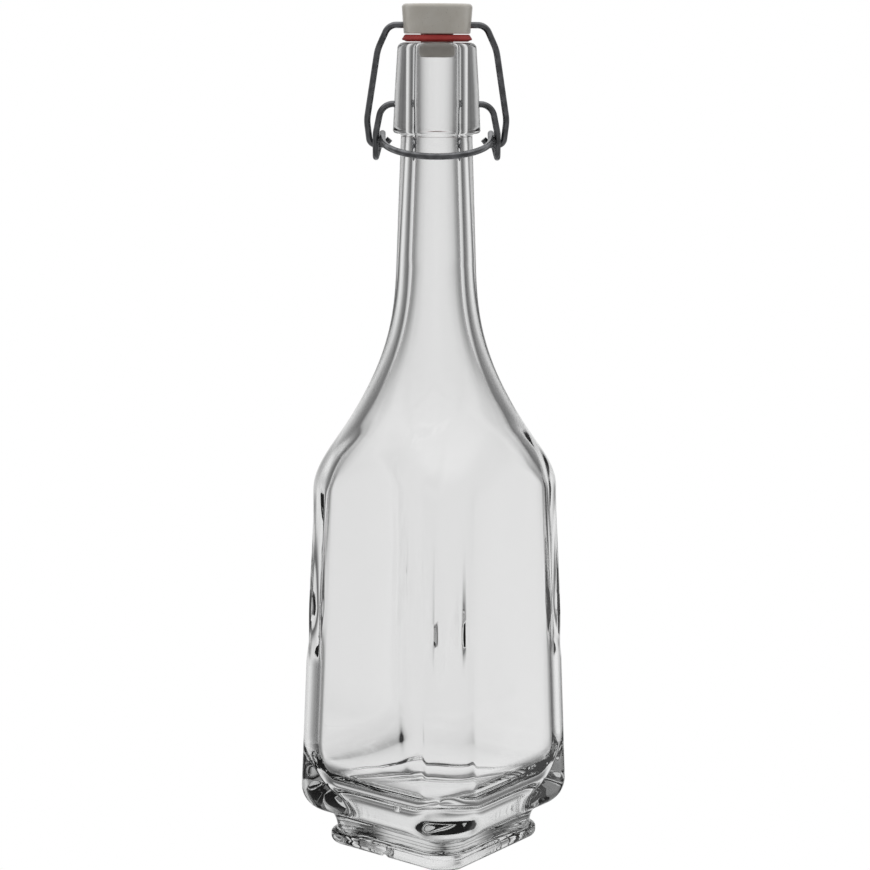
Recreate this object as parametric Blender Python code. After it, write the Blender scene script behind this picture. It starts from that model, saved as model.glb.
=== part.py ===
"""Swing-top glass bottle with a square body.

Five pieces: the glass bottle, the porcelain stopper, its rubber gasket, the top bail that
carries the stopper, and the lever wire that pulls the bail down and locks it.
The origin is the centre of the foot on the ground, +Z is up, +X runs along the lever's
pins, and the lever's loop closes towards -Y.  The lengths below are in millimetres.
"""
import math

import bmesh
import bpy
from mathutils import Vector

MM = 0.001

# Clearances between pieces
SEAT_GAP = 0.3           # between faces that rest on each other
WIRE_CLEARANCE = 0.3     # round a wire in its hole or socket
EYE_CLEARANCE = 0.45     # each side of the bail's hook inside the lever's eye
BUTTON_CLEARANCE = 0.8   # round the stopper's button in the bore, for its swing out
LEG_CLEARANCE = 0.15     # between two wires that pass side by side

# Foot: a small square plinth, hollowed underneath, with a moulded notch in one side
FOOT_SIDE = 65.2
FOOT_CORNER = 10.0
FOOT_HEIGHT = 4.8        # of the foot's plate
FOOT_LEDGE = 1.4         # how far the plate stands out below the hollow curve over it
FOOT_EDGE = 2.2          # rounding of the bottom edge
RING_WIDTH = 6.5         # flat ring that the bottle stands on
PUNT_DEPTH = 2.5         # how far the underside is pushed up inside the ring
NOTCH_RADIUS = 2.0

# Body: a square with rounded corners, turned from the wires, narrowing to its shoulder
BODY_TURN = math.radians(7.0)
COVE_HEIGHT = 10.2       # hollow curve from the foot's plate up to the body's underside
BODY_SIDE = 83.9         # across the flats where the body is widest
BODY_CORNER = 13.0       # corner radius in plan
BODY_EDGE = 9.0          # height of the rounded edge under the body
BODY_EDGE_WIDTH = 5.6
BODY_HEIGHT = 135.0      # from the underside to the shoulder
SHOULDER_SIDE = 76.4     # across the flats at the shoulder

# Grooves down the upper part of the body's four corners
GROOVE_DEPTH = 2.4
GROOVE_LIP = 2.6         # softness of the groove's two edges
GROOVE_LENGTH = 76.0     # down from the shoulder
GROOVE_RUNOUT = 24.0     # length over which its lower end comes up to the surface

# Turned shoulder and neck
SHOULDER_RADIUS = 46.3
SHOULDER_OFFSET = 6.0    # height of that radius above the body's end
SHOULDER_SLOPE = 0.77    # radius lost for each millimetre of height there
SHOULDER_PULL = 36.3     # how far that slope carries on into the curve
SHOULDER_BLEND = 6.0     # softness of the line between the flats and the shoulder
SHOULDER_RISE = 79.0     # height of the whole curve
NECK_FOOT_RADIUS = 15.6
NECK_PULL = 22.0
NECK_RADIUS = 13.9       # just under the collar
NECK_LENGTH = 50.6

# Collar and mouth
COLLAR_HEIGHT = 34.7
COLLAR_RADIUS = 17.0     # at its lower end
COLLAR_EDGE = 1.2
WAIST_RADIUS = 16.3
WAIST_HEIGHT = 16.4      # of the waist above the collar's lower end
LIP_RADIUS = 15.3
LIP_EDGE = 2.4           # outer rounding of the lip
MOUTH_EDGE = 1.4         # inner rounding of the lip
PIN_HEIGHT = 11.2        # of the lever's pins above the collar's lower end
PIN_DEPTH = 2.6          # how far the pins reach into the collar

# Hollow
BORE_RADIUS = 7.9
NECK_WALL = 5.9
FACE_WALL = 3.3
INNER_CORNER = 13.5      # corner radius of the hollow in plan
FLOOR_HEIGHT = 14.0      # of the inside floor
FLOOR_EDGE = 28.0        # rounding between the inside floor and walls
GROOVE_FOLLOW = 0.9      # how far the hollow's wall follows the grooves

# Stopper: head, stem through the gasket, button in the bore
HEAD_HEIGHT = 11.4
HEAD_FLARE = 0.7         # how much wider the head is at its top
HEAD_EDGE = 1.5
CROSS_HEIGHT = 3.3       # of the bail's hole above the head's underside
STEM_STEP = 0.8          # how much thinner the stem is than the button
BUTTON_LENGTH = 5.9
BUTTON_EDGE = 1.4

# Gasket
GASKET_HEIGHT = 2.7
GASKET_OVERLAP = 5.6     # from the bore's edge out to the gasket's tip
GASKET_TOP_STEP = 0.8    # how far its upper and lower rims stand back from the tip
GASKET_LOW_STEP = 1.2

# Lever wire, from the pins down
WIRE = 2.5               # diameter of both wires
LEVER_BEND = 5.5
LEVER_CORNER = 4.3       # bend corner, out from the collar
LEVER_LEG = 6.6          # leg, out from the collar
EYE_DROP = 20.6          # centre of the eye's lower bend, below the pins
CROSSING_DROP = 11.4     # centre of the wire that closes the eye's top, below the pins
LOOP_SETBACK = 3.3       # straight run before the loop's half circle
LOOP_DROP = math.radians(14.5)

# Bail, from the crossbar down
BAIL_CORNER = 5.0        # bend corner, out from the head
BAIL_BEND = 4.6
BAIL_KNEE = (4.3, 9.4)   # second bend: out from the first, below the crossbar
KNEE_BEND = 16.0
BAIL_WAIST = (3.5, 9.5)  # widest place: out from the lever's leg, above the hook
WAIST_BEND = 14.0
HOOK_DROP = 15.8         # hook's centre, below the pins
HOOK_BEND = 2.7
TIP_REACH = 5.4          # hook's tip, inwards from the lever's leg
TIP_RISE = 2.3
TIP_BEND = 1.9

# Heights and distances that follow from the sizes above
BODY_BOTTOM = FOOT_HEIGHT + COVE_HEIGHT
SHOULDER_HEIGHT = BODY_BOTTOM + BODY_HEIGHT
SHOULDER_START = SHOULDER_HEIGHT + SHOULDER_OFFSET
NECK_FOOT = SHOULDER_START + SHOULDER_RISE
COLLAR_BOTTOM = NECK_FOOT + NECK_LENGTH
LIP_TOP = COLLAR_BOTTOM + COLLAR_HEIGHT
PIVOT_HEIGHT = COLLAR_BOTTOM + PIN_HEIGHT
GASKET_BOTTOM = LIP_TOP + SEAT_GAP
HEAD_BOTTOM = GASKET_BOTTOM + GASKET_HEIGHT + SEAT_GAP
CROSSBAR_HEIGHT = HEAD_BOTTOM + CROSS_HEIGHT
GASKET_RADIUS = BORE_RADIUS + GASKET_OVERLAP
BUTTON_RADIUS = BORE_RADIUS - BUTTON_CLEARANCE
STEM_RADIUS = BUTTON_RADIUS - STEM_STEP
HEAD_RADIUS = GASKET_RADIUS + 0.1
LEG_REACH = COLLAR_RADIUS + LEVER_LEG
EYE_DEPTH = 2.0 * (WIRE + EYE_CLEARANCE)   # between the centres of the eye's two sides

# Where a ring's points lie, as angles from each corner: close together on the corner
CORNER_STEPS = [math.radians(d) for d in (1.2, 3.2, 4.6, 6.6, 10.5, 18.0, 31.0)]


# ---------------------------------------------------------------- shapes in general

def smooth_min(a, b, softness):
    """The smaller of two lengths, rounded where they are nearly equal."""
    near = max(softness - abs(a - b), 0.0) / softness
    return min(a, b) - near * near * softness / 4.0


def ease(t):
    """0 to 1 with no slope at either end."""
    t = min(max(t, 0.0), 1.0)
    return t * t * (3.0 - 2.0 * t)


def cubic(start, start_pull, end_pull, end, steps):
    """Points of a cubic curve, from start to end, both included."""
    points = []
    for i in range(steps + 1):
        t = i / steps
        s = 1.0 - t
        weights = (s * s * s, 3 * s * s * t, 3 * s * t * t, t * t * t)
        corners = (start, start_pull, end_pull, end)
        points.append(tuple(sum(w * c[k] for w, c in zip(weights, corners)) for k in (0, 1)))
    return points


def rounding(centre, out, up, first, last, steps):
    """Points of an elliptic arc: angles in degrees, 0 pointing outwards and 90 up."""
    points = []
    for i in range(steps + 1):
        angle = math.radians(first + (last - first) * i / steps)
        points.append((centre[0] + out * math.cos(angle), centre[1] + up * math.sin(angle)))
    return points


def placed(name, data, place=Vector()):
    """A new object in the scene, its origin at a place given in millimetres."""
    piece = bpy.data.objects.new(name, data)
    piece.location = place * MM
    bpy.context.collection.objects.link(piece)
    return piece


def lofted(name, rings):
    """A closed skin through rings of points, its first and last ring filled."""
    mesh = bmesh.new()
    loops = [[mesh.verts.new(Vector(p) * MM) for p in ring] for ring in rings]
    count = len(loops[0])
    for low, high in zip(loops, loops[1:]):
        for i in range(count):
            j = (i + 1) % count
            mesh.faces.new((low[i], low[j], high[j], high[i]))
    for loop, turn in ((loops[0], -1), (loops[-1], 1)):
        centre = mesh.verts.new(sum((v.co for v in loop), Vector()) / count)
        for i in range(count):
            mesh.faces.new((loop[i], loop[(i + 1) % count], centre)[::turn])
    data = bpy.data.meshes.new(name)
    mesh.to_mesh(data)
    mesh.free()
    data.shade_smooth()
    return data


def turned(name, outline, place, finish, steps=40):
    """A turned piece. The outline runs down its outer side, as (radius, height)."""
    data = bpy.data.meshes.new(name)
    points = [((x - place.x) * MM, 0.0, (z - place.z) * MM) for x, z in outline]
    edges = [(i, i + 1) for i in range(len(points) - 1)]
    if outline[0][0] > 0.0:
        edges.append((len(points) - 1, 0))
    data.from_pydata(points, edges, [])
    data.materials.append(finish)
    piece = placed(name, data, place)
    screw = piece.modifiers.new('turn', 'SCREW')
    screw.axis = 'Z'
    screw.steps = steps
    screw.render_steps = steps
    screw.use_merge_vertices = True
    screw.merge_threshold = 0.00001
    screw.use_smooth_shade = True
    return piece


def bent(corners, bends, steps):
    """Points of a wire bent at its inner corners, each with its own bend radius."""
    corners = [Vector(c) for c in corners]
    points = [corners[0]]
    for corner, before, after, radius in zip(corners[1:], corners, corners[2:], bends):
        into = (corner - before).normalized()
        out = (after - corner).normalized()
        turn = into.angle(out)
        inward = (out - into * into.dot(out)).normalized()
        centre = corner - into * radius * math.tan(turn / 2.0) + inward * radius
        count = max(2, round(steps * turn / (math.pi / 2.0)))
        for k in range(count + 1):
            angle = turn * k / count
            points.append(centre + radius * (into * math.sin(angle) - inward * math.cos(angle)))
    points.append(corners[-1])
    return points


def wire(name, half, place, finish):
    """A round wire, mirrored from its right half, its origin on the joint it turns on."""
    left = [Vector((-p.x, p.y, p.z)) for p in reversed(half[1:])]
    points = left + half
    data = bpy.data.curves.new(name, 'CURVE')
    data.dimensions = '3D'
    data.bevel_depth = WIRE / 2.0 * MM
    data.bevel_resolution = 3
    data.use_fill_caps = True
    spline = data.splines.new('POLY')
    spline.points.add(len(points) - 1)
    for point, at in zip(spline.points, points):
        point.co = (*((at - place) * MM), 1.0)
    data.materials.append(finish)
    return placed(name, data, place)


def cut_round(piece, name, radius, start, end):
    """Take a round hole out of the piece, between two points."""
    mesh = bmesh.new()
    bmesh.ops.create_cone(mesh, cap_ends=True, segments=20, radius1=radius * MM,
                          radius2=radius * MM, depth=(end - start).length * MM)
    data = bpy.data.meshes.new(name)
    mesh.to_mesh(data)
    mesh.free()
    tool = placed(name, data, (start + end) / 2.0)
    tool.rotation_mode = 'QUATERNION'
    tool.rotation_quaternion = (end - start).to_track_quat('Z', 'Y')
    tool.hide_render = True
    tool.display_type = 'WIRE'
    step = piece.modifiers.new(name, 'BOOLEAN')
    step.operation = 'DIFFERENCE'
    step.solver = 'EXACT'
    step.object = tool


def finish(name, colour, roughness, metallic=0.0, transmission=0.0, ior=1.5):
    """A plain Principled material."""
    made = bpy.data.materials.new(name)
    made.use_nodes = True
    shader = made.node_tree.nodes['Principled BSDF']
    shader.inputs['Base Color'].default_value = (*colour, 1.0)
    shader.inputs['Roughness'].default_value = roughness
    shader.inputs['Metallic'].default_value = metallic
    shader.inputs['Transmission Weight'].default_value = transmission
    shader.inputs['IOR'].default_value = ior
    return made


# ---------------------------------------------------------------- bottle

def ring_directions():
    """(direction, angle from the nearest corner) for each point round the bottle."""
    offsets = [-d for d in reversed(CORNER_STEPS)] + CORNER_STEPS + [math.pi / 4.0]
    corners = [BODY_TURN + side * math.pi / 2.0 for side in range(4)]
    return [(corner + offset, offset) for corner in corners for offset in offsets]


def half_side_at(height):
    """Half the width across the flats of the tapering body."""
    widest = BODY_BOTTOM + BODY_EDGE
    share = (height - widest) / (SHOULDER_HEIGHT - widest)
    return (BODY_SIDE + (SHOULDER_SIDE - BODY_SIDE) * share) / 2.0


def shoulder_profile(wall=0.0):
    """(radius, height) points of the turned shoulder, or of its inside at a wall's depth."""
    start = (SHOULDER_RADIUS - wall, SHOULDER_START)
    end = (NECK_FOOT_RADIUS - wall, NECK_FOOT)
    neck_slope = (NECK_FOOT_RADIUS - NECK_RADIUS) / NECK_LENGTH
    return cubic(start, (start[0] - SHOULDER_SLOPE * SHOULDER_PULL, start[1] + SHOULDER_PULL),
                 (end[0] + neck_slope * NECK_PULL, end[1] - NECK_PULL), end, 60)


def radius_at(profile, height):
    """The profile's radius at a height; below it, the first slope carries on."""
    if height <= profile[0][1]:
        return profile[0][0] + SHOULDER_SLOPE * (profile[0][1] - height)
    for low, high in zip(profile, profile[1:]):
        if height <= high[1]:
            share = (height - low[1]) / (high[1] - low[1])
            return low[0] + (high[0] - low[0]) * share
    return profile[-1][0]


def groove_share(height):
    """How much of its depth the corner groove has at a height, 0 to 1."""
    rise = ease((height - SHOULDER_HEIGHT + GROOVE_LENGTH) / GROOVE_RUNOUT)
    fade = (SHOULDER_HEIGHT - height) / (GROOVE_LENGTH - GROOVE_RUNOUT)
    return rise * min(max(fade, 0.0), 1.0)


def rounded_reach(half_side, corner, offset):
    """Distance from the axis to a rounded square, an angle away from its corner."""
    offset = abs(offset)
    arc_centre = (half_side - corner) * math.sqrt(2.0)
    tangent = math.atan2(corner * math.sqrt(0.5), arc_centre + corner * math.sqrt(0.5))
    if offset < tangent:
        across = arc_centre * math.sin(offset)
        return arc_centre * math.cos(offset) + math.sqrt(corner * corner - across * across)
    return half_side / math.cos(math.pi / 4.0 - offset)


def grooved_reach(half_side, corner, offset):
    """The same with a full groove, whose edges stand as far out as the rounded corner."""
    flat = half_side / math.cos(math.pi / 4.0 - abs(offset))
    half_width = (math.sqrt(2.0) - 1.0) * corner
    tip = half_side * math.sqrt(2.0) - half_width
    across = abs(tip * math.tan(offset)) / half_width
    if across < 1.0:
        cut = tip - GROOVE_DEPTH * math.sqrt(1.0 - across * across)
    else:
        cut = tip + (across - 1.0) * half_width
    return smooth_min(flat, cut / math.cos(offset), GROOVE_LIP)


def groove_shift(height, offset):
    """How far the groove moves the surface out or in, at an angle from the corner."""
    share = groove_share(height)
    if share == 0.0:
        return 0.0
    half_side = half_side_at(height)
    return share * (grooved_reach(half_side, BODY_CORNER, offset)
                    - rounded_reach(half_side, BODY_CORNER, offset))


def square_ring(height, half_side, corner, limit=None, follow=1.0):
    """Points of one square level, kept inside a round limit where there is one."""
    ring = []
    for direction, offset in ring_directions():
        reach = rounded_reach(half_side, min(corner, half_side), offset)
        reach += follow * groove_shift(height, offset)
        if limit is not None:
            reach = smooth_min(reach, limit, SHOULDER_BLEND)
        ring.append((reach * math.cos(direction), reach * math.sin(direction), height))
    return ring


def round_ring(radius, height):
    """Points of a round level of the bottle."""
    return [(radius * math.cos(d), radius * math.sin(d), height) for d, _ in ring_directions()]


def body_levels():
    """Heights of the rings from the grooves' lower end up to the neck's foot, not included."""
    groove_end = SHOULDER_HEIGHT - GROOVE_LENGTH
    runout = [groove_end + GROOVE_RUNOUT * k / 5.0 for k in range(6)]
    upper = GROOVE_LENGTH - GROOVE_RUNOUT
    body = [runout[-1] + upper * share for share in (0.42, 0.8, 0.96)]
    shoulder = [SHOULDER_HEIGHT + (NECK_FOOT - SHOULDER_HEIGHT) * (k / 12.0) ** 1.35
                for k in range(12)]
    return runout + body + shoulder


def outside_rings():
    """The outside, from the edge of the underside's hollow up to the top of the lip."""
    foot = FOOT_SIDE / 2.0
    ring_in = foot - RING_WIDTH
    rings = [square_ring(PUNT_DEPTH, ring_in - 2.0 * PUNT_DEPTH, FOOT_CORNER / 2.0),
             square_ring(0.0, ring_in, FOOT_CORNER / 2.0)]
    for out, up in rounding((foot - FOOT_EDGE, FOOT_EDGE), FOOT_EDGE, FOOT_EDGE, -90, 0, 3):
        rings.append(square_ring(up, out, FOOT_CORNER + out - foot))
    body = BODY_SIDE / 2.0
    rings.append(square_ring(FOOT_HEIGHT - FOOT_LEDGE, foot, FOOT_CORNER))
    cove = body - BODY_EDGE_WIDTH - (foot - FOOT_LEDGE)
    for out, up in rounding((body - BODY_EDGE_WIDTH, FOOT_HEIGHT), cove, COVE_HEIGHT,
                            180, 90, 5)[:-1]:
        rings.append(square_ring(up, out, (FOOT_CORNER + BODY_CORNER) / 2.0))
    for out, up in rounding((body - BODY_EDGE_WIDTH, BODY_BOTTOM + BODY_EDGE),
                            BODY_EDGE_WIDTH, BODY_EDGE, -80, 0, 5):
        rings.append(square_ring(up, out, BODY_CORNER))
    profile = shoulder_profile()
    for height in body_levels():
        rings.append(square_ring(height, half_side_at(height), BODY_CORNER,
                                 radius_at(profile, height)))
    rings.append(round_ring(NECK_FOOT_RADIUS, NECK_FOOT))
    rings.append(round_ring(NECK_RADIUS, COLLAR_BOTTOM - 0.8))
    rings.append(round_ring(NECK_RADIUS + 0.8, COLLAR_BOTTOM))
    for out, up in rounding((COLLAR_RADIUS - COLLAR_EDGE, COLLAR_BOTTOM + COLLAR_EDGE),
                            COLLAR_EDGE, COLLAR_EDGE, -90, 0, 3):
        rings.append(round_ring(out, up))
    rings.append(round_ring(WAIST_RADIUS, COLLAR_BOTTOM + WAIST_HEIGHT))
    for out, up in rounding((LIP_RADIUS - LIP_EDGE, LIP_TOP - LIP_EDGE), LIP_EDGE, LIP_EDGE,
                            0, 90, 5):
        rings.append(round_ring(out, up))
    return rings


def inside_rings():
    """The hollow, from the mouth's rounded edge down to the floor."""
    rings = []
    for out, up in rounding((BORE_RADIUS + MOUTH_EDGE, LIP_TOP - MOUTH_EDGE), MOUTH_EDGE,
                            MOUTH_EDGE, 90, 180, 4):
        rings.append(round_ring(out, up))
    profile = shoulder_profile(NECK_WALL)
    rings.append(round_ring(BORE_RADIUS, COLLAR_BOTTOM))
    rings.append(round_ring(profile[-1][0], NECK_FOOT))
    for height in reversed(body_levels()):
        rings.append(square_ring(height, half_side_at(height) - FACE_WALL, INNER_CORNER,
                                 radius_at(profile, height), GROOVE_FOLLOW))
    low = FLOOR_HEIGHT + FLOOR_EDGE
    half_side = half_side_at(low) - FACE_WALL
    for out, up in rounding((half_side - FLOOR_EDGE, low), FLOOR_EDGE, FLOOR_EDGE, 0, -90, 6):
        rings.append(square_ring(up, out, INNER_CORNER, follow=GROOVE_FOLLOW))
    return rings


def make_bottle(glass):
    """The blown bottle: outside and hollow in one skin, with sockets and notch cut in."""
    data = lofted('bottle', outside_rings() + inside_rings())
    data.materials.append(glass)
    piece = placed('bottle', data)
    socket = WIRE / 2.0 + WIRE_CLEARANCE
    bottom = COLLAR_RADIUS - PIN_DEPTH - SEAT_GAP
    for side, label in ((-1.0, 'left'), (1.0, 'right')):
        cut_round(piece, 'socket_' + label, socket, Vector((side * bottom, 0.0, PIVOT_HEIGHT)),
                  Vector((side * (COLLAR_RADIUS + WIRE), 0.0, PIVOT_HEIGHT)))
    angle = BODY_TURN - math.pi * 0.75
    toward = Vector((math.cos(angle), math.sin(angle), 0.0))
    foot = FOOT_SIDE / 2.0
    cut_round(piece, 'notch', NOTCH_RADIUS, toward * (foot - RING_WIDTH - NOTCH_RADIUS),
              toward * (foot + NOTCH_RADIUS))
    return piece


# ---------------------------------------------------------------- stopper and gasket

def make_stopper(porcelain):
    """One turned porcelain piece: head, stem and button, cross-bored for the bail."""
    head_top = HEAD_BOTTOM + HEAD_HEIGHT
    head_edge = HEAD_RADIUS - HEAD_FLARE
    button_top = GASKET_BOTTOM - SEAT_GAP
    button_end = button_top - BUTTON_LENGTH
    outline = [(0.0, head_top)]
    outline += rounding((HEAD_RADIUS - HEAD_EDGE, head_top - HEAD_EDGE), HEAD_EDGE, HEAD_EDGE,
                        90, 0, 4)
    outline += [(head_edge, HEAD_BOTTOM), (STEM_RADIUS, HEAD_BOTTOM),
                (STEM_RADIUS, button_top), (BUTTON_RADIUS, button_top - STEM_STEP)]
    outline += rounding((BUTTON_RADIUS - BUTTON_EDGE, button_end + BUTTON_EDGE), BUTTON_EDGE,
                        BUTTON_EDGE, 0, -90, 4)
    outline.append((0.0, button_end))
    place = Vector((0.0, 0.0, CROSSBAR_HEIGHT))
    piece = turned('stopper', outline, place, porcelain)
    across = Vector((HEAD_RADIUS + WIRE, 0.0, 0.0))
    cut_round(piece, 'cross_hole', WIRE / 2.0 + WIRE_CLEARANCE, place - across, place + across)
    return piece


def make_gasket(rubber):
    """The rubber ring in the stopper's groove, its tip spread over the bottle's mouth."""
    top = GASKET_BOTTOM + GASKET_HEIGHT
    inner = STEM_RADIUS + SEAT_GAP
    tip_low = GASKET_BOTTOM + GASKET_HEIGHT * 0.3
    tip_high = GASKET_BOTTOM + GASKET_HEIGHT * 0.43
    outline = [(GASKET_RADIUS - GASKET_TOP_STEP, top), (GASKET_RADIUS, tip_high),
               (GASKET_RADIUS, tip_low), (GASKET_RADIUS - GASKET_LOW_STEP, GASKET_BOTTOM),
               (inner, GASKET_BOTTOM), (inner, top)]
    return turned('gasket', outline, Vector((0.0, 0.0, CROSSBAR_HEIGHT)), rubber)


# ---------------------------------------------------------------- wires

def make_lever(steel):
    """One wire: pin, leg, closed eye, then the loop round the front of the neck."""
    inner = LEG_REACH - WIRE - LEG_CLEARANCE
    crossing = PIVOT_HEIGHT - CROSSING_DROP
    half = []
    steps = 14
    for i in range(steps + 1):
        turn = math.pi / 2.0 * i / steps
        ahead = LOOP_SETBACK + inner * math.cos(turn)
        half.append(Vector((inner * math.sin(turn), -ahead,
                            crossing - WIRE / 2.0 - ahead * math.tan(LOOP_DROP))))
    low = PIVOT_HEIGHT - EYE_DROP
    rise = EYE_DEPTH * math.tan(LOOP_DROP) / 2.0
    corners = [half[-1],
               Vector((inner + LEG_CLEARANCE, EYE_DEPTH, crossing + rise)),
               Vector((LEG_REACH, EYE_DEPTH, low)),
               Vector((LEG_REACH, 0.0, low)),
               Vector((LEG_REACH, 0.0, crossing)),
               Vector((COLLAR_RADIUS + LEVER_CORNER, 0.0, PIVOT_HEIGHT)),
               Vector((COLLAR_RADIUS - PIN_DEPTH, 0.0, PIVOT_HEIGHT))]
    eye_bend = EYE_DEPTH / 2.0 - 0.01
    bends = [WIRE * 0.9, eye_bend, eye_bend, 8.0, LEVER_BEND]
    half += bent(corners, bends, 7)[1:]
    return wire('lever_wire', half, Vector((0.0, 0.0, PIVOT_HEIGHT)), steel)


def make_bail(steel):
    """One wire: crossbar through the stopper, two legs, and a hook in each eye."""
    hook = Vector((0.0, EYE_DEPTH / 2.0, PIVOT_HEIGHT - HOOK_DROP))
    first = HEAD_RADIUS + BAIL_CORNER

    def in_plane(out, height):
        share = (CROSSBAR_HEIGHT - height) / (CROSSBAR_HEIGHT - hook.z)
        return Vector((out, hook.y * share, height))

    corners = [in_plane(0.0, CROSSBAR_HEIGHT), in_plane(first, CROSSBAR_HEIGHT),
               in_plane(first + BAIL_KNEE[0], CROSSBAR_HEIGHT - BAIL_KNEE[1]),
               in_plane(LEG_REACH + BAIL_WAIST[0], hook.z + BAIL_WAIST[1]),
               in_plane(LEG_REACH + WIRE - LEG_CLEARANCE, hook.z),
               in_plane(LEG_REACH - TIP_REACH + TIP_BEND, hook.z),
               in_plane(LEG_REACH - TIP_REACH, hook.z + TIP_RISE)]
    half = bent(corners, [BAIL_BEND, KNEE_BEND, WAIST_BEND, HOOK_BEND, TIP_BEND], 7)
    return wire('top_bail', half, hook, steel)


# ---------------------------------------------------------------- build

for old in list(bpy.data.objects):
    bpy.data.objects.remove(old, do_unlink=True)

make_bottle(finish('clear_glass', (0.94, 0.96, 0.95), 0.02, transmission=1.0, ior=1.52))
make_stopper(finish('porcelain', (0.42, 0.40, 0.36), 0.35))
make_gasket(finish('red_rubber', (0.42, 0.03, 0.03), 0.5))
make_bail(finish('bail_steel', (0.16, 0.16, 0.16), 0.35, metallic=1.0))
make_lever(finish('lever_steel', (0.16, 0.16, 0.16), 0.35, metallic=1.0))
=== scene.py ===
"""Swing-top bottle of clear glass: a square body on a small square foot, a long neck, and a
porcelain stopper with a red rubber gasket, held down by two bent steel wires.
Sizes are in millimetres. +Z is up, +X runs along the lever's pins, -Y is the front.
"""
import math

import bmesh
import bpy
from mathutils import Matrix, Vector, noise


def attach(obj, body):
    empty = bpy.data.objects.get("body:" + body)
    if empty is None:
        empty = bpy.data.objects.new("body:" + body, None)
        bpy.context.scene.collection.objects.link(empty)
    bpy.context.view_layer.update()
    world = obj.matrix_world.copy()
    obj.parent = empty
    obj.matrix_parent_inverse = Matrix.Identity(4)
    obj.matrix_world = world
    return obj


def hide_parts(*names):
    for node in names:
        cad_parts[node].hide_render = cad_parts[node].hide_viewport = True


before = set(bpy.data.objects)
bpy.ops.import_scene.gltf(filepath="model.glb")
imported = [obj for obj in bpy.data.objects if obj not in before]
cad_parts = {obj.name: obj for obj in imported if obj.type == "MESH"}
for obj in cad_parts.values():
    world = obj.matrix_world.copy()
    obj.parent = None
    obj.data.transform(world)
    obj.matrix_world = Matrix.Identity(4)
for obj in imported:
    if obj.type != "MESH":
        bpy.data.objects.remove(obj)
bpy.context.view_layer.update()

MM = 0.001

# ---------------------------------------------------------------------------
# Studio: a white table top and a round light tent, bright behind the bottle, dim at its
# sides and grey in front, so that clear glass shows dark edges. The tent goes round with
# the camera, as the bottle would on a turntable, and is itself hidden from the camera.
# ---------------------------------------------------------------------------
CAMERA_PLACE = (-0.8, -886.0, 323.0)
CAMERA_PITCH = math.radians(80.0)
CAMERA_ROLL = -0.004
CAMERA_LENS = 93.8
TENT_RADIUS = 2600.0
TENT_DISTANCE = 900.0
TABLE_SIZE = 9000.0
# The tent's brightness, by degrees round from straight behind the bottle to the camera
BRIGHTNESS = [(0.0, 0.87), (8.0, 0.84), (15.0, 0.72), (22.0, 0.50), (30.0, 0.28),
              (42.0, 0.13), (50.0, 0.14), (58.0, 0.65), (70.0, 0.85), (78.0, 0.35),
              (100.0, 0.24), (180.0, 0.30)]


def add_node(tree, kind, inputs=None, **settings):
    """Add a node, set its properties, then give each input a value or a link."""
    made = tree.nodes.new(kind)
    for name, value in settings.items():
        setattr(made, name, value)
    for key, value in (inputs or {}).items():
        if isinstance(value, bpy.types.NodeSocket):
            tree.links.new(value, made.inputs[key])
        else:
            made.inputs[key].default_value = value
    return made


def linear(hex_colour):
    """An sRGB hex colour as linear red, green, blue and 1."""
    parts = [int(hex_colour[i:i + 2], 16) / 255.0 for i in (1, 3, 5)]
    return tuple(c / 12.92 if c <= 0.04045 else ((c + 0.055) / 1.055) ** 2.4
                 for c in parts) + (1.0,)


def set_ramp(ramp, stops):
    """Give a colour ramp its stops, as (position, linear grey or colour)."""
    elements = ramp.color_ramp.elements
    while len(elements) < len(stops):
        elements.new(1.0)
    for element, (position, colour) in zip(elements, stops):
        element.position = position
        element.color = colour if isinstance(colour, tuple) else (colour, colour, colour, 1.0)


camera_data = bpy.data.cameras.new("camera")
camera_data.lens = CAMERA_LENS
camera_data.sensor_width = 36.0
camera = bpy.data.objects.new("camera", camera_data)
camera.location = Vector(CAMERA_PLACE) * MM
camera.rotation_euler = (CAMERA_PITCH, CAMERA_ROLL, 0.0)
bpy.context.collection.objects.link(camera)
bpy.context.scene.camera = camera

tent_mesh = bpy.data.meshes.new("light_tent")
shell = bmesh.new()
bmesh.ops.create_uvsphere(shell, u_segments=48, v_segments=24, radius=TENT_RADIUS * MM)
shell.to_mesh(tent_mesh)
shell.free()
tent = bpy.data.objects.new("light_tent", tent_mesh)
tent.location = (0.0, 0.0, -TENT_DISTANCE * MM)
tent.parent = camera
tent.visible_camera = False
bpy.context.collection.objects.link(tent)

tent_cloth = bpy.data.materials.new("tent_cloth")
tent_cloth.use_nodes = True
tree = tent_cloth.node_tree
tree.nodes.clear()
place = add_node(tree, "ShaderNodeTexCoord")
direction = add_node(tree, "ShaderNodeVectorMath", {0: place.outputs["Object"]},
                     operation="NORMALIZE")
axes = add_node(tree, "ShaderNodeSeparateXYZ", {0: direction.outputs[0]})
back = add_node(tree, "ShaderNodeMath", {0: axes.outputs["Z"], 1: -1.0}, operation="MULTIPLY")
side = add_node(tree, "ShaderNodeMath", {0: axes.outputs["X"]}, operation="ABSOLUTE")
angle = add_node(tree, "ShaderNodeMath", {0: side.outputs[0], 1: back.outputs[0]},
                 operation="ARCTAN2")
round_share = add_node(tree, "ShaderNodeMath", {0: angle.outputs[0], 1: math.pi},
                       operation="DIVIDE")
depth_light = add_node(tree, "ShaderNodeValToRGB", {"Fac": round_share.outputs[0]})
set_ramp(depth_light, [(degrees / 180.0, level) for degrees, level in BRIGHTNESS])
above = add_node(tree, "ShaderNodeMapRange", {"Value": axes.outputs["Y"], "From Min": 0.45,
                                              "From Max": 0.8, "To Max": 0.9},
                 interpolation_type="SMOOTHSTEP")
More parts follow.
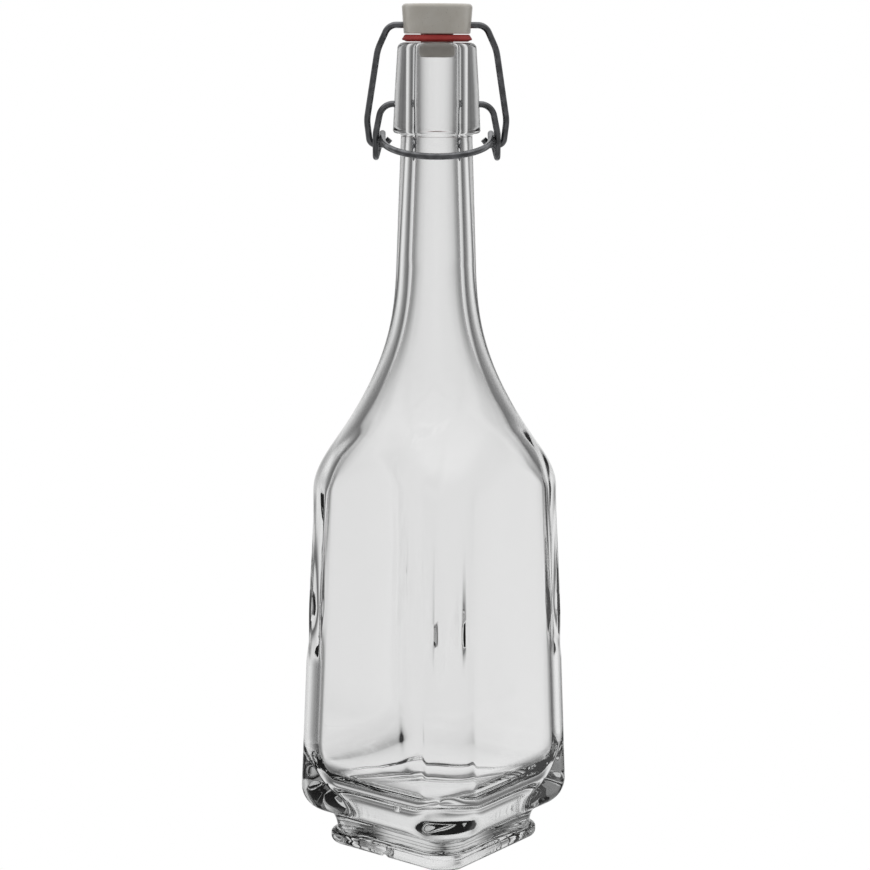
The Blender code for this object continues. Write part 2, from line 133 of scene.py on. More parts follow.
light = add_node(tree, "ShaderNodeMix", {"Factor": above.outputs["Result"],
                                         6: depth_light.outputs["Color"],
                                         7: (1.0, 1.0, 1.0, 1.0)}, data_type="RGBA")
glow = add_node(tree, "ShaderNodeEmission", {"Color": light.outputs[2]})
add_node(tree, "ShaderNodeOutputMaterial", {"Surface": glow.outputs[0]})
tent_mesh.materials.append(tent_cloth)

table_mesh = bpy.data.meshes.new("table_top")
half = TABLE_SIZE / 2.0 * MM
table_mesh.from_pydata([(-half, -half, -0.0002), (half, -half, -0.0002), (half, half, -0.0002),
                        (-half, half, -0.0002)], [], [(0, 1, 2, 3)])
table_top = bpy.data.objects.new("table_top", table_mesh)
bpy.context.collection.objects.link(table_top)

# Matt white card, seen from above by the camera alone, so that it casts no light upwards
# and the foot stays as clear as the rest.
white_table = bpy.data.materials.new("white_table")
white_table.use_nodes = True
tree = white_table.node_tree
tree.nodes.clear()
path = add_node(tree, "ShaderNodeLightPath")
side = add_node(tree, "ShaderNodeNewGeometry")
seen = add_node(tree, "ShaderNodeMath", {0: path.outputs["Is Camera Ray"],
                                         1: side.outputs["Backfacing"]},
                operation="SUBTRACT", use_clamp=True)
white = add_node(tree, "ShaderNodeEmission", {"Color": (1.0, 1.0, 1.0, 1.0)})
clear = add_node(tree, "ShaderNodeBsdfTransparent")
mixed = add_node(tree, "ShaderNodeMixShader", {0: seen.outputs[0], 1: clear.outputs[0],
                                               2: white.outputs[0]})
add_node(tree, "ShaderNodeOutputMaterial", {"Surface": mixed.outputs[0]})
table_mesh.materials.append(white_table)

world = bpy.data.worlds.new("white_studio")
world.use_nodes = True
world.node_tree.nodes["Background"].inputs["Color"].default_value = (1.0, 1.0, 1.0, 1.0)
bpy.context.scene.world = world
bpy.context.scene.view_settings.view_transform = "Standard"
bpy.context.scene.cycles.max_bounces = 24
bpy.context.scene.cycles.transmission_bounces = 24
bpy.context.scene.cycles.transparent_max_bounces = 24

# ---------------------------------------------------------------------------
# Bottle: soda-lime glass, pressed and blown in a mould. Four flat sides with a groove
# down the upper part of each corner, a turned shoulder and neck, a collar with a socket
# on each side for the lever's pins, and a thick floor over a small square foot.
# ---------------------------------------------------------------------------
WIRE = 2.5
CLEARANCE = 0.3          # round a wire in its hole, and beyond its end

FOOT_SIDE = 65.2
FOOT_CORNER = 10.0
FOOT_HEIGHT = 4.8
FOOT_LEDGE = 1.4         # how far the foot's plate stands out below the curve over it
FOOT_EDGE = 2.2
RING_WIDTH = 6.5
PUNT_DEPTH = 2.5         # how far the underside is pushed up inside the ring
PUNT_SLOPE = 8.0
NOTCH_RADIUS = 2.0

BODY_TURN = math.radians(7.0)
BODY_BOTTOM = 15.0
BODY_SIDE = 83.88
BODY_CORNER = 13.0
BODY_EDGE = 9.0
BODY_EDGE_WIDTH = 5.6
SHOULDER_HEIGHT = 150.0
SHOULDER_SIDE = 76.4

GROOVE_DEPTH = 2.4
GROOVE_LIP = 2.6
GROOVE_BOTTOM = 74.0
GROOVE_RUNOUT = 24.0

SHOULDER_RADIUS = 46.3
SHOULDER_START = 156.0
SHOULDER_SLOPE = 0.77
SHOULDER_PULL = 36.3
SHOULDER_BLEND = 6.0
NECK_FOOT_RADIUS = 15.6
NECK_FOOT = 235.0
NECK_PULL = 22.0
NECK_RADIUS = 13.9

COLLAR_BOTTOM = 285.6
COLLAR_RADIUS = 17.0
COLLAR_EDGE = 1.2
COLLAR_FILLET = 1.2      # where the neck runs out into the collar's underside
WAIST_HEIGHT = 302.0
WAIST_RADIUS = 16.3
LIP_TOP = 320.3
LIP_RADIUS = 15.3
LIP_EDGE = 2.4
MOUTH_EDGE = 1.4
PIN_HEIGHT = 296.8
PIN_DEPTH = 2.6

BORE_RADIUS = 7.9
NECK_WALL = 5.9
FACE_WALL = 3.3
RIPPLE = 0.15            # unevenness of the hollow's wall
RIPPLE_LENGTH = 42.0
INNER_CORNER = 13.5
FLOOR_HEIGHT = 14.0
FLOOR_EDGE = 28.0
GROOVE_FOLLOW = 0.9      # how far the hollow's wall follows the groove

# Degrees from a corner to each point of a ring, closer together where the corner curves
CORNER_STEPS = [0.5 + k for k in range(14)] + [15.2, 16.8, 18.6, 20.6, 22.8, 25.2, 27.8,
                                               30.6, 33.6, 36.8, 40.2, 43.4]


def smooth_min(a, b, softness):
    """The smaller of two lengths, rounded where they are nearly equal."""
    near = max(softness - abs(a - b), 0.0) / softness
    return min(a, b) - near * near * softness / 4.0


def rounding(centre, out, up, first, last, steps):
    """Points of an elliptic arc: angles in degrees, 0 pointing outwards and 90 up."""
    points = []
    for i in range(steps + 1):
        angle = math.radians(first + (last - first) * i / steps)
        points.append((centre[0] + out * math.cos(angle), centre[1] + up * math.sin(angle)))
    return points


def shoulder_profile(wall):
    """(radius, height) points of the shoulder's curve, or of its inside at a wall's depth."""
    start = Vector((SHOULDER_RADIUS - wall, SHOULDER_START))
    end = Vector((NECK_FOOT_RADIUS - wall, NECK_FOOT))
    neck_slope = (NECK_FOOT_RADIUS - NECK_RADIUS) / (COLLAR_BOTTOM - NECK_FOOT)
    pull = start + Vector((-SHOULDER_SLOPE, 1.0)) * SHOULDER_PULL
    push = end + Vector((neck_slope, -1.0)) * NECK_PULL
    points = []
    for i in range(121):
        t = i / 120.0
        s = 1.0 - t
        points.append(start * s ** 3 + pull * 3 * s * s * t + push * 3 * s * t * t + end * t ** 3)
    return points


def radius_at(profile, height):
    """The profile's radius at a height; below it, its first slope carries on."""
    if height <= profile[0].y:
        return profile[0].x + SHOULDER_SLOPE * (profile[0].y - height)
    for low, high in zip(profile, profile[1:]):
        if height <= high.y:
            return low.x + (high.x - low.x) * (height - low.y) / (high.y - low.y)
    return profile[-1].x


def half_side_at(height):
    """Half the width across the flats of the tapering body."""
    widest = BODY_BOTTOM + BODY_EDGE
    share = (height - widest) / (SHOULDER_HEIGHT - widest)
    return (BODY_SIDE + (SHOULDER_SIDE - BODY_SIDE) * share) / 2.0


def groove_share(height):
    """How much of its depth the corner groove has at a height, 0 to 1."""
    rise = min(max((height - GROOVE_BOTTOM) / GROOVE_RUNOUT, 0.0), 1.0)
    fade = (SHOULDER_HEIGHT - height) / (SHOULDER_HEIGHT - GROOVE_BOTTOM - GROOVE_RUNOUT)
    return rise * rise * (3.0 - 2.0 * rise) * min(max(fade, 0.0), 1.0)


def rounded_reach(half_side, corner, offset):
    """Distance from the axis to a rounded square, an angle away from its corner."""
    offset = abs(offset)
    arc_centre = (half_side - corner) * math.sqrt(2.0)
    tangent = math.atan2(corner * math.sqrt(0.5), arc_centre + corner * math.sqrt(0.5))
    if offset < tangent:
        across = arc_centre * math.sin(offset)
        return arc_centre * math.cos(offset) + math.sqrt(corner * corner - across * across)
    return half_side / math.cos(math.pi / 4.0 - offset)


def grooved_reach(half_side, corner, offset):
    """The same with a full groove, whose edges stand as far out as the rounded corner."""
    flat = half_side / math.cos(math.pi / 4.0 - abs(offset))
    half_width = (math.sqrt(2.0) - 1.0) * corner
    tip = half_side * math.sqrt(2.0) - half_width
    across = abs(tip * math.tan(offset)) / half_width
    if across < 1.0:
        cut = tip - GROOVE_DEPTH * math.sqrt(1.0 - across * across)
    else:
        cut = tip + (across - 1.0) * half_width
    return smooth_min(flat, cut / math.cos(offset), GROOVE_LIP)


def groove_shift(height, offset):
    """How far the groove moves the surface out or in, at an angle from the corner."""
    share = groove_share(height)
    if share == 0.0:
        return 0.0
    half_side = half_side_at(height)
    return share * (grooved_reach(half_side, BODY_CORNER, offset)
                    - rounded_reach(half_side, BODY_CORNER, offset))


def ring_directions():
    """(direction, angle from the nearest corner) for each point round the bottle."""
    steps = [math.radians(d) for d in CORNER_STEPS]
    offsets = [-d for d in reversed(steps)] + steps
    return [(BODY_TURN + side * math.pi / 2.0 + offset, offset)
            for side in range(4) for offset in offsets]


DIRECTIONS = ring_directions()


def square_ring(height, half_side, corner, limit=None, follow=1.0, ripple=0.0):
    """Points of one square level, kept inside a round limit where there is one."""
    ring = []
    for direction, offset in DIRECTIONS:
        reach = rounded_reach(half_side, min(corner, half_side), offset)
        reach += follow * groove_shift(height, offset)
        if limit is not None:
            reach = smooth_min(reach, limit, SHOULDER_BLEND)
        if ripple:
            reach += ripple * noise.noise(Vector((math.cos(direction) * 1.6,
                                                  math.sin(direction) * 1.6,
                                                  height / RIPPLE_LENGTH)))
        ring.append((reach * math.cos(direction), reach * math.sin(direction), height))
    return ring


def hollow_ring(height, half_side, limit=None):
    """A level of the hollow: it follows the grooves, and is uneven as blown glass is."""
    return square_ring(height, half_side, INNER_CORNER, limit, GROOVE_FOLLOW, RIPPLE)


def round_ring(radius, height):
    """Points of a round level of the bottle."""
    return [(radius * math.cos(d), radius * math.sin(d), height) for d, _ in DIRECTIONS]


def spaced(start, step, number):
    """Heights from a start, one step apart."""
    return [start + step * k for k in range(number)]


# Levels of the body and shoulder, closer together where the grooves run out and where the
# flats end in the shoulder's curve
LEVELS = (spaced(BODY_BOTTOM + BODY_EDGE + 2.0, 2.0, 23) + spaced(GROOVE_BOTTOM, 1.0, 26)
          + spaced(100.0, 2.0, 23) + spaced(145.0, 1.0, 24) + spaced(169.0, 2.0, 33))


def foot_rings():
    """The underside, the foot's plate, and the hollow curve up to the body's underside."""
    foot = FOOT_SIDE / 2.0
    inner_corner = FOOT_CORNER / 2.0
    rings = []
    for k in range(7):
        share = 1.0 - k / 6.0
        rings.append(square_ring(PUNT_DEPTH * math.sin(math.pi / 2.0 * share),
                                 foot - RING_WIDTH - PUNT_SLOPE * share, inner_corner))
    for k in range(1, 11):
        rings.append(square_ring(0.0, foot - RING_WIDTH + (RING_WIDTH - FOOT_EDGE) * k / 10.0,
                                 inner_corner + (inner_corner - FOOT_EDGE) * k / 10.0))
    for out, up in rounding((foot - FOOT_EDGE, FOOT_EDGE), FOOT_EDGE, FOOT_EDGE,
                            -90, 0, 10)[1:]:
        rings.append(square_ring(up, out, FOOT_CORNER + out - foot))
    for out, up in rounding((foot - FOOT_LEDGE, FOOT_HEIGHT - FOOT_LEDGE), FOOT_LEDGE,
                            FOOT_LEDGE, 0, 80, 6):
        rings.append(square_ring(up, out, FOOT_CORNER))
    cove_out = BODY_SIDE / 2.0 - BODY_EDGE_WIDTH
    for out, up in rounding((cove_out, FOOT_HEIGHT), cove_out - (foot - FOOT_LEDGE),
                            BODY_BOTTOM - FOOT_HEIGHT, 174, 90, 14)[:-1]:
        rings.append(square_ring(up, out, (FOOT_CORNER + BODY_CORNER) / 2.0))
    return rings


def body_rings():
    """The body's rounded lower edge, its grooved sides and the shoulder."""
    rings = []
    for out, up in rounding((BODY_SIDE / 2.0 - BODY_EDGE_WIDTH, BODY_BOTTOM + BODY_EDGE),
                            BODY_EDGE_WIDTH, BODY_EDGE, -84, 0, 18):
        rings.append(square_ring(up, out, BODY_CORNER))
    profile = shoulder_profile(0.0)
    for height in LEVELS:
        rings.append(square_ring(height, half_side_at(height), BODY_CORNER,
                                 radius_at(profile, height)))
    return rings


def collar_radius_at(height):
    """The collar narrows to its waist, and from there to its lip at another slope."""
    if height < WAIST_HEIGHT:
        share = (height - COLLAR_BOTTOM) / (WAIST_HEIGHT - COLLAR_BOTTOM)
        return COLLAR_RADIUS + (WAIST_RADIUS - COLLAR_RADIUS) * share
    share = (height - WAIST_HEIGHT) / (LIP_TOP - LIP_EDGE - WAIST_HEIGHT)
    return WAIST_RADIUS + (LIP_RADIUS - WAIST_RADIUS) * share


def neck_rings():
    """The neck, the collar with its waist, and the lip over into the mouth."""
    rings = []
    neck_top = COLLAR_BOTTOM - COLLAR_FILLET
    for k in range(12):
        share = k / 12.0
        rings.append(round_ring(NECK_FOOT_RADIUS + (NECK_RADIUS - NECK_FOOT_RADIUS) * share,
                                NECK_FOOT + (neck_top - NECK_FOOT) * share))
    for out, up in rounding((NECK_RADIUS + COLLAR_FILLET, neck_top), COLLAR_FILLET,
                            COLLAR_FILLET, 180, 90, 6):
        rings.append(round_ring(out, up))
    collar_edge_top = COLLAR_BOTTOM + COLLAR_EDGE
    for out, up in rounding((COLLAR_RADIUS - COLLAR_EDGE, collar_edge_top), COLLAR_EDGE,
                            COLLAR_EDGE, -90, 0, 8):
        rings.append(round_ring(out, up))
    lip_edge_foot = LIP_TOP - LIP_EDGE
    for k in range(1, 24):
        height = collar_edge_top + (lip_edge_foot - collar_edge_top) * k / 24.0
        rings.append(round_ring(collar_radius_at(height), height))
    for out, up in rounding((LIP_RADIUS - LIP_EDGE, lip_edge_foot), LIP_EDGE, LIP_EDGE,
                            0, 90, 14):
        rings.append(round_ring(out, up))
    for out, up in rounding((BORE_RADIUS + MOUTH_EDGE, LIP_TOP - MOUTH_EDGE), MOUTH_EDGE,
                            MOUTH_EDGE, 90, 180, 10):
        rings.append(round_ring(out, up))
    return rings


def hollow_rings():
    """The inside, from the mouth down the bore and the walls to the middle of the floor."""
    rings = []
    bore_top = LIP_TOP - MOUTH_EDGE
    for k in range(1, 12):
        rings.append(round_ring(BORE_RADIUS, bore_top + (COLLAR_BOTTOM - bore_top) * k / 12.0))
    profile = shoulder_profile(NECK_WALL)
    for k in range(13):
        share = k / 12.0
        rings.append(round_ring(BORE_RADIUS + (profile[-1].x - BORE_RADIUS) * share,
                                COLLAR_BOTTOM + (NECK_FOOT + 1.5 - COLLAR_BOTTOM) * share))
    wall_foot = FLOOR_HEIGHT + FLOOR_EDGE
    for height in reversed([h for h in LEVELS if h > wall_foot] + [NECK_FOOT - 0.5]):
        rings.append(hollow_ring(height, half_side_at(height) - FACE_WALL,
                                 radius_at(profile, height)))
    flat = half_side_at(wall_foot) - FACE_WALL - FLOOR_EDGE
    for out, up in rounding((flat, wall_foot), FLOOR_EDGE, FLOOR_EDGE, -3, -90, 34):
        rings.append(hollow_ring(up, out))
    for share in (0.85, 0.7, 0.55, 0.4, 0.25, 0.12):
        rings.append(hollow_ring(FLOOR_HEIGHT, flat * share))
    return rings


rings = foot_rings() + body_rings() + neck_rings() + hollow_rings()
skin = bmesh.new()
loops = [[skin.verts.new(Vector(p) * MM) for p in ring] for ring in rings]
count = len(DIRECTIONS)
for lower, upper in zip(loops, loops[1:]):
    for i in range(count):
        j = (i + 1) % count
        skin.faces.new((lower[i], lower[j], upper[j], upper[i]))
for loop, step in ((loops[0], -1), (loops[-1], 1)):
    centre = skin.verts.new(sum((v.co for v in loop), Vector()) / count)
    for i in range(count):
        skin.faces.new((loop[i], loop[(i + 1) % count], centre)[::step])
bottle_mesh = bpy.data.meshes.new("glass_bottle")
skin.to_mesh(bottle_mesh)
skin.free()
bottle_mesh.shade_smooth()
bottle = bpy.data.objects.new("glass_bottle", bottle_mesh)
bpy.context.collection.objects.link(bottle)


def rod(name, radius, start, end, sides=48):
    """A round rod between two points, used to cut a hole."""
    mesh = bmesh.new()
    bmesh.ops.create_cone(mesh, cap_ends=True, segments=sides, radius1=radius * MM,
                          radius2=radius * MM, depth=(end - start).length * MM)
    data = bpy.data.meshes.new(name)
    mesh.to_mesh(data)
    mesh.free()
    made = bpy.data.objects.new(name, data)
    made.location = (start + end) / 2.0 * MM
    made.rotation_mode = "QUATERNION"
    made.rotation_quaternion = (end - start).to_track_quat("Z", "Y")
    bpy.context.collection.objects.link(made)
    return made


def plain_mesh(piece, name):
    """The piece as its modifiers leave it, as plain mesh data of that name."""
    bpy.context.view_layer.update()
    evaluated = piece.evaluated_get(bpy.context.evaluated_depsgraph_get())
    data = bpy.data.meshes.new_from_object(evaluated)
    data.name = name
    return data


def cut_out(piece, tools):
    """Cut the tools' shapes out of the piece, then remove the tools."""
    for tool in tools:
        step = piece.modifiers.new("cut", "BOOLEAN")
        step.operation = "DIFFERENCE"
        step.solver = "EXACT"
        step.object = tool
    data = plain_mesh(piece, piece.name)
    piece.modifiers.clear()
    piece.data = data
    for tool in tools:
        bpy.data.objects.remove(tool, do_unlink=True)


socket = WIRE / 2.0 + CLEARANCE
socket_end = COLLAR_RADIUS - PIN_DEPTH - CLEARANCE
notch_angle = BODY_TURN - math.pi * 0.75
toward = Vector((math.cos(notch_angle), math.sin(notch_angle), 0.0))
foot = FOOT_SIDE / 2.0
cut_out(bottle, [
    rod("left_socket", socket, Vector((-socket_end, 0.0, PIN_HEIGHT)),
        Vector((-COLLAR_RADIUS - WIRE, 0.0, PIN_HEIGHT))),
    rod("right_socket", socket, Vector((socket_end, 0.0, PIN_HEIGHT)),
        Vector((COLLAR_RADIUS + WIRE, 0.0, PIN_HEIGHT))),
    rod("notch", NOTCH_RADIUS, toward * (foot - RING_WIDTH - NOTCH_RADIUS),
        toward * (foot + NOTCH_RADIUS))])
bottle.data.set_sharp_from_angle(angle=math.radians(50.0))

# Clear soda-lime container glass: fire-polished and smooth, with a faint long ripple left
# by the mould, and a slight grey cast where the eye looks through a lot of it.
glass = bpy.data.materials.new("clear_soda_lime_glass")
glass.use_nodes = True
tree = glass.node_tree
shader = tree.nodes["Principled BSDF"]
shader.inputs["Base Color"].default_value = linear("#fefefe")
shader.inputs["Transmission Weight"].default_value = 1.0
shader.inputs["IOR"].default_value = 1.52
place = add_node(tree, "ShaderNodeTexCoord")
stretch = add_node(tree, "ShaderNodeMapping", {"Vector": place.outputs["Object"],
                                               "Scale": (1.0, 1.0, 0.45)})
ripple = add_node(tree, "ShaderNodeTexNoise", {"Vector": stretch.outputs[0], "Scale": 55.0,
                                               "Detail": 1.5, "Roughness": 0.4})
relief = add_node(tree, "ShaderNodeBump", {"Height": ripple.outputs["Fac"], "Strength": 0.2,
                                           "Distance": 0.0002})
haze = add_node(tree, "ShaderNodeMapRange", {"Value": ripple.outputs["Fac"], "From Min": 0.35,
                                             "From Max": 0.75, "To Min": 0.0, "To Max": 0.02})
tree.links.new(relief.outputs[0], shader.inputs["Normal"])
tree.links.new(haze.outputs[0], shader.inputs["Roughness"])
cast = add_node(tree, "ShaderNodeVolumeAbsorption", {"Color": linear("#bcbebd"),
                                                     "Density": 8.0})
tree.links.new(cast.outputs[0], tree.nodes["Material Output"].inputs["Volume"])
bottle.data.materials.clear()
bottle.data.materials.append(glass)
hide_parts("bottle")
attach(bottle, "glass")

# ---------------------------------------------------------------------------
# Stopper: one piece of slip-cast porcelain, fired with a clear glaze. A flared head, a
# stem that the gasket sits on and a button that hangs in the bore. The bail's crossbar
# runs through a hole across the head.
# ---------------------------------------------------------------------------
HEAD_BOTTOM = 323.6
HEAD_TOP = 335.0
HEAD_RADIUS = 13.6
HEAD_FOOT_RADIUS = 12.9
HEAD_EDGE = 1.5
HEAD_DIP = 0.25          # how far the top dips at its middle
CROSSBAR_HEIGHT = 326.9
STEM_RADIUS = 6.3
BUTTON_TOP = 320.3
BUTTON_RADIUS = 7.1
BUTTON_END = 314.4
BUTTON_EDGE = 1.4


def lathe(name, outline, sides):
    """A turned piece. The outline runs down its outer side, as (radius, height)."""
    mesh = bmesh.new()
    rings = []
    for radius, height in outline:
        if radius < 1e-6:
            rings.append([mesh.verts.new((0.0, 0.0, height * MM))])
            continue
        turns = [2.0 * math.pi * i / sides for i in range(sides)]
        rings.append([mesh.verts.new((radius * math.cos(t) * MM, radius * math.sin(t) * MM,
                                      height * MM)) for t in turns])
    if outline[0][0] > 0.0:
        rings.append(rings[0])
    for upper, lower in zip(rings, rings[1:]):
        for i in range(sides):
            j = (i + 1) % sides
            if len(upper) == 1:
                mesh.faces.new((upper[0], lower[i], lower[j]))
            elif len(lower) == 1:
                mesh.faces.new((upper[j], upper[i], lower[0]))
            else:
                mesh.faces.new((upper[i], lower[i], lower[j], upper[j]))
    data = bpy.data.meshes.new(name)
    mesh.to_mesh(data)
    mesh.free()
    data.shade_smooth()
    made = bpy.data.objects.new(name, data)
    bpy.context.collection.objects.link(made)
    return made


outline = [(0.0, HEAD_TOP - HEAD_DIP)]
outline += [(radius, HEAD_TOP - HEAD_DIP * (1.0 - radius / 12.0) ** 2)
            for radius in (3.0, 6.0, 9.0)]
outline += rounding((HEAD_RADIUS - HEAD_EDGE, HEAD_TOP - HEAD_EDGE), HEAD_EDGE, HEAD_EDGE,
                    90, -2, 12)
outline += [(HEAD_RADIUS + (HEAD_FOOT_RADIUS - HEAD_RADIUS) * k / 8.0,
             HEAD_TOP - HEAD_EDGE + (HEAD_BOTTOM + 0.5 + HEAD_EDGE - HEAD_TOP) * k / 8.0)
            for k in range(1, 8)]
outline += rounding((HEAD_FOOT_RADIUS - 0.5, HEAD_BOTTOM + 0.5), 0.5, 0.5, 0, -90, 5)
outline += [(9.0, HEAD_BOTTOM), (STEM_RADIUS, HEAD_BOTTOM), (STEM_RADIUS, BUTTON_TOP + 1.6)]
outline += [(STEM_RADIUS, BUTTON_TOP), (BUTTON_RADIUS, BUTTON_TOP - 0.8)]
outline += [(BUTTON_RADIUS, BUTTON_TOP - 2.6)]
outline += rounding((BUTTON_RADIUS - BUTTON_EDGE, BUTTON_END + BUTTON_EDGE), BUTTON_EDGE,
                    BUTTON_EDGE, 0, -90, 8)
outline += [(3.0, BUTTON_END), (0.0, BUTTON_END)]
stopper = lathe("porcelain_stopper", outline, 96)
cut_out(stopper, [rod("cross_hole", WIRE / 2.0 + CLEARANCE, Vector((-20.0, 0.0, CROSSBAR_HEIGHT)),
                      Vector((20.0, 0.0, CROSSBAR_HEIGHT)), 40)])
stopper.data.set_sharp_from_angle(angle=math.radians(32.0))

# Glazed porcelain, a warm beige grey: soft mottling from the clay, a few fine specks, and
# a thin wavy glaze that gives a broad quiet shine.
porcelain = bpy.data.materials.new("glazed_porcelain")
porcelain.use_nodes = True
tree = porcelain.node_tree
shader = tree.nodes["Principled BSDF"]
place = add_node(tree, "ShaderNodeTexCoord")
mottle = add_node(tree, "ShaderNodeTexNoise", {"Vector": place.outputs["Object"],
                                               "Scale": 160.0, "Detail": 4.0})
clay = add_node(tree, "ShaderNodeValToRGB", {"Fac": mottle.outputs["Fac"]})
set_ramp(clay, [(0.3, linear("#e9e3d7")), (0.7, linear("#f2ede3"))])
speck = add_node(tree, "ShaderNodeTexNoise", {"Vector": place.outputs["Object"],
                                              "Scale": 1900.0, "Detail": 1.0})
specks = add_node(tree, "ShaderNodeMapRange", {"Value": speck.outputs["Fac"], "From Min": 0.70,
                                               "From Max": 0.76, "To Max": 0.35})
colour = add_node(tree, "ShaderNodeMix", {"Factor": specks.outputs["Result"],
                                          6: clay.outputs["Color"], 7: linear("#a29a8b")},
                  data_type="RGBA")
glaze = add_node(tree, "ShaderNodeBump", {"Height": mottle.outputs["Fac"], "Strength": 0.4,
                                          "Distance": 0.0002})
tree.links.new(colour.outputs[2], shader.inputs["Base Color"])
tree.links.new(glaze.outputs[0], shader.inputs["Normal"])
shader.inputs["Roughness"].default_value = 0.3
shader.inputs["Coat Weight"].default_value = 0.4
shader.inputs["Coat Roughness"].default_value = 0.12
stopper.data.materials.clear()
stopper.data.materials.append(porcelain)
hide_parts("stopper")
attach(stopper, "stopper")

# ---------------------------------------------------------------------------
# Gasket: a moulded red rubber ring, pushed over the button on to the stem. Its rim
# spreads into a soft edge just wider than the head.
# ---------------------------------------------------------------------------
GASKET_BOTTOM = 320.6
GASKET_TOP = 323.3
GASKET_RADIUS = 13.5
GASKET_INNER = 6.6

outline = [(GASKET_INNER, GASKET_TOP), (11.9, GASKET_TOP)]
outline += rounding((11.9, GASKET_TOP - 0.5), 0.8, 0.5, 75, 20, 4)
outline += rounding((GASKET_RADIUS - 0.55, GASKET_BOTTOM + 0.95), 0.55, 0.5, 50, -50, 8)
outline += rounding((11.6, GASKET_BOTTOM + 0.5), 0.9, 0.5, -20, -90, 5)
outline += [(9.0, GASKET_BOTTOM), (GASKET_INNER, GASKET_BOTTOM)]
gasket = lathe("rubber_gasket", outline, 128)
gasket.data.set_sharp_from_angle(angle=math.radians(50.0))

# Moulded natural rubber, brick red: matt, with a fine powdery grain and slightly paler
# where it has been pressed.
rubber = bpy.data.materials.new("moulded_red_rubber")
rubber.use_nodes = True
tree = rubber.node_tree
shader = tree.nodes["Principled BSDF"]
place = add_node(tree, "ShaderNodeTexCoord")
grain = add_node(tree, "ShaderNodeTexNoise", {"Vector": place.outputs["Object"],
                                              "Scale": 900.0, "Detail": 3.0})
worn = add_node(tree, "ShaderNodeTexNoise", {"Vector": place.outputs["Object"],
                                             "Scale": 120.0, "Detail": 2.0})
tint = add_node(tree, "ShaderNodeValToRGB", {"Fac": worn.outputs["Fac"]})
set_ramp(tint, [(0.35, linear("#b32a26")), (0.7, linear("#c23c37"))])
relief = add_node(tree, "ShaderNodeBump", {"Height": grain.outputs["Fac"], "Strength": 0.3,
                                           "Distance": 0.0001})
dull = add_node(tree, "ShaderNodeMapRange", {"Value": grain.outputs["Fac"], "To Min": 0.5,
                                             "To Max": 0.68})
tree.links.new(tint.outputs["Color"], shader.inputs["Base Color"])
tree.links.new(dull.outputs["Result"], shader.inputs["Roughness"])
tree.links.new(relief.outputs[0], shader.inputs["Normal"])
gasket.data.materials.append(rubber)
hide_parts("gasket")
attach(gasket, "stopper")

# ---------------------------------------------------------------------------
# Bail: one length of drawn steel wire, bent cold. Its crossbar runs through the stopper,
# its legs bow out past the neck, and each ends in a hook held in the lever's eye.
# ---------------------------------------------------------------------------
LEG_REACH = 23.6
EYE_DEPTH = 5.9
HOOK_HEIGHT = 281.0
BAIL_CORNER = (18.6, 326.9)
BAIL_KNEE = (22.9, 317.5)
BAIL_WAIST = (27.1, 290.5)
HOOK_REACH = 25.95
HOOK_TIP = 18.2
TIP_RISE = 2.3
TIP_BEND = 1.9
BAIL_BENDS = [4.6, 16.0, 14.0, 2.7, TIP_BEND]
CHAMFER = 0.35           # of a wire's cut ends


def bent(corners, bends, steps):
    """Points of a wire bent at its inner corners, each with its own bend radius."""
    corners = [Vector(c) for c in corners]
    points = [corners[0]]
    for corner, before, after, radius in zip(corners[1:], corners, corners[2:], bends):
        into = (corner - before).normalized()
        out = (after - corner).normalized()
        turn = into.angle(out)
        inward = (out - into * into.dot(out)).normalized()
        middle = corner - into * radius * math.tan(turn / 2.0) + inward * radius
        number = max(3, round(steps * turn / (math.pi / 2.0)))
        for k in range(number + 1):
            angle = turn * k / number
            points.append(middle + radius * (into * math.sin(angle) - inward * math.cos(angle)))
    points.append(corners[-1])
    return points


